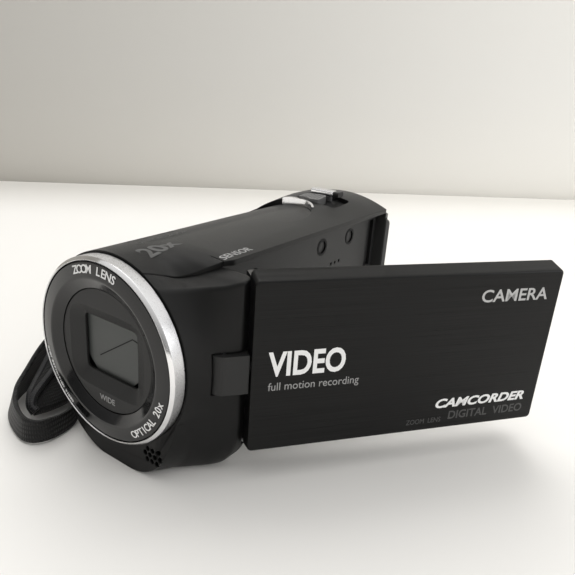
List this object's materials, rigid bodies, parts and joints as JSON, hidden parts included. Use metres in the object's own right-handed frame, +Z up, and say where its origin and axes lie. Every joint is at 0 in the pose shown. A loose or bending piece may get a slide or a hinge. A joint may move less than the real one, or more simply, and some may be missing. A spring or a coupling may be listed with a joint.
{
  "type": "camcorder",
  "caption": "Compact camcorder with a swing-out screen, lens shutter, zoom lever, clip-on battery and a soft hand strap.",
  "frame": {"origin": "on the flat underside, below the lens axis and 45 mm behind the front edge of the lens ring", "axes": "+Z up, the lens looks along -Y, the screen opens towards +X, the hand strap is on the -X side"},
  "size_m": [0.121, 0.1214, 0.0553],
  "materials": {
    "satin_black": "satin black casing",
    "dark_plastic": "matt dark grey plastic",
    "gloss_black": "gloss black plastic",
    "bright_trim": "bright plated trim",
    "steel": "plain steel",
    "lens_glass": "coated glass",
    "circuit_board": "green circuit board",
    "woven_nylon": "black woven nylon"
  },
  "bodies": {
    "camera": {"base_plate": "dark_plastic", "base_screw_1": "steel", "base_screw_2": "steel", "battery_terminals": "dark_plastic", "bay_panel": "dark_plastic", "card_socket": "steel", "focus_motor": "steel", "front_element": "lens_glass", "front_lug": "steel", "front_shell": "satin_black", "grip_pad": "woven_nylon", "grip_shell": "satin_black", "grip_webbing": "woven_nylon", "hinge_pin": "steel", "image_sensor": "dark_plastic", "jack_socket": "steel", "key_board": "circuit_board", "lens_barrel": "dark_plastic", "lens_bezel": "gloss_black", "lens_ring": "bright_trim", "main_board": "circuit_board", "microphone": "steel", "photo_trim": "bright_trim", "rear_cover": "satin_black", "rear_element": "lens_glass", "rear_lug": "steel", "sensor_board": "circuit_board", "shutter_carrier": "dark_plastic", "speaker": "steel", "top_cover": "satin_black", "tripod_nut": "steel", "window_plate": "gloss_black", "zoom_motor": "steel"},
    "hinge_unit": {"hinge_block": "dark_plastic", "tilt_shaft": "steel"},
    "screen": {"lcd_cover": "satin_black", "lcd_frame": "gloss_black", "lcd_screen": "lens_glass", "lcd_module": "steel"},
    "screen_selector": {"multi_selector": "dark_plastic"},
    "photo_key": {"photo_button": "dark_plastic"},
    "zoom_key": {"zoom_lever": "bright_trim"},
    "record_key": {"start_stop_button": "dark_plastic"},
    "play_key": {"play_button": "dark_plastic"},
    "light_key": {"light_button": "dark_plastic"},
    "power_key": {"power_button": "dark_plastic"},
    "card_flap": {"card_door": "dark_plastic"},
    "jack_flap": {"jack_cover": "dark_plastic"},
    "cover_slider": {"lens_cover_switch": "dark_plastic"},
    "lower_blade": {"shutter_lower": "dark_plastic"},
    "upper_blade": {"shutter_upper": "dark_plastic"},
    "zoom_optics": {"zoom_group": "lens_glass"},
    "focus_optics": {"focus_group": "lens_glass"},
    "battery": {"battery_pack": "dark_plastic"},
    "latch": {"release_latch": "dark_plastic"}
  },
  "joints": [
    {"name": "screen_swing", "type": "hinge", "parent": "camera", "child": "hinge_unit", "pos_m": [0.0246, -0.0335, 0.0275], "axis": [0, 0, -1], "range_deg": [-38.3, 51.7]},
    {"name": "screen_tilt", "type": "hinge", "parent": "hinge_unit", "child": "screen", "pos_m": [0.0237, -0.03279, 0.0275], "axis": [0.6198, 0.7848, 0], "range_deg": [0, 15]},
    {"name": "selector_press", "type": "slide", "parent": "screen", "child": "screen_selector", "axis": [0.7848, -0.6198, 0], "range_m": [0, 0.0004], "stiffness_N_per_m": 400},
    {"name": "photo_press", "type": "slide", "parent": "camera", "child": "photo_key", "axis": [0, 0, -1], "range_m": [0, 0.0005], "stiffness_N_per_m": 400},
    {"name": "zoom_shift", "type": "slide", "parent": "camera", "child": "zoom_key", "axis": [1, 0, 0], "range_m": [-0.0015, 0.0015], "stiffness_N_per_m": 150},
    {"name": "record_press", "type": "slide", "parent": "camera", "child": "record_key", "axis": [0, -1, 0], "range_m": [0, 0.0006], "stiffness_N_per_m": 400},
    {"name": "play_press", "type": "slide", "parent": "camera", "child": "play_key", "axis": [-1, 0, 0], "range_m": [0, 0.0004], "stiffness_N_per_m": 400},
    {"name": "light_press", "type": "slide", "parent": "camera", "child": "light_key", "axis": [-1, 0, 0], "range_m": [0, 0.0004], "stiffness_N_per_m": 400},
    {"name": "power_press", "type": "slide", "parent": "camera", "child": "power_key", "axis": [-1, 0, 0], "range_m": [0, 0.0004], "stiffness_N_per_m": 400},
    {"name": "card_door_swing", "type": "hinge", "parent": "camera", "child": "card_flap", "pos_m": [0.0178, -0.004, 0.012], "axis": [0, 1, 0], "range_deg": [0, 90]},
    {"name": "jack_cover_swing", "type": "hinge", "parent": "camera", "child": "jack_flap", "pos_m": [0.0178, 0.021, 0.01825], "axis": [0, 0, 1], "range_deg": [0, 100]},
    {"name": "cover_slide", "type": "slide", "parent": "camera", "child": "cover_slider", "axis": [0, 0, 1], "range_m": [0, 0.005]},
    {"name": "lower_blade_slide", "type": "slide", "parent": "camera", "child": "lower_blade", "axis": [0, 0, -1], "range_m": [0, 0.0111]},
    {"name": "upper_blade_slide", "type": "slide", "parent": "camera", "child": "upper_blade", "axis": [0, 0, 1], "range_m": [0, 0.0111]},
    {"name": "zoom_travel", "type": "slide", "parent": "camera", "child": "zoom_optics", "axis": [0, 1, 0], "range_m": [-0.005, 0.005]},
    {"name": "focus_travel", "type": "slide", "parent": "camera", "child": "focus_optics", "axis": [0, 1, 0], "range_m": [-0.0025, 0.0025]},
    {"name": "battery_slide", "type": "slide", "parent": "camera", "child": "battery", "axis": [0, 0, 1], "range_m": [0, 0.008]},
    {"name": "latch_slide", "type": "slide", "parent": "camera", "child": "latch", "axis": [1, 0, 0], "range_m": [0, 0.003], "stiffness_N_per_m": 200}
  ],
  "couplings": [
    {"joint": "lower_blade_slide", "follows": "cover_slide", "ratio": 2.22},
    {"joint": "upper_blade_slide", "follows": "cover_slide", "ratio": 2.22}
  ]
}
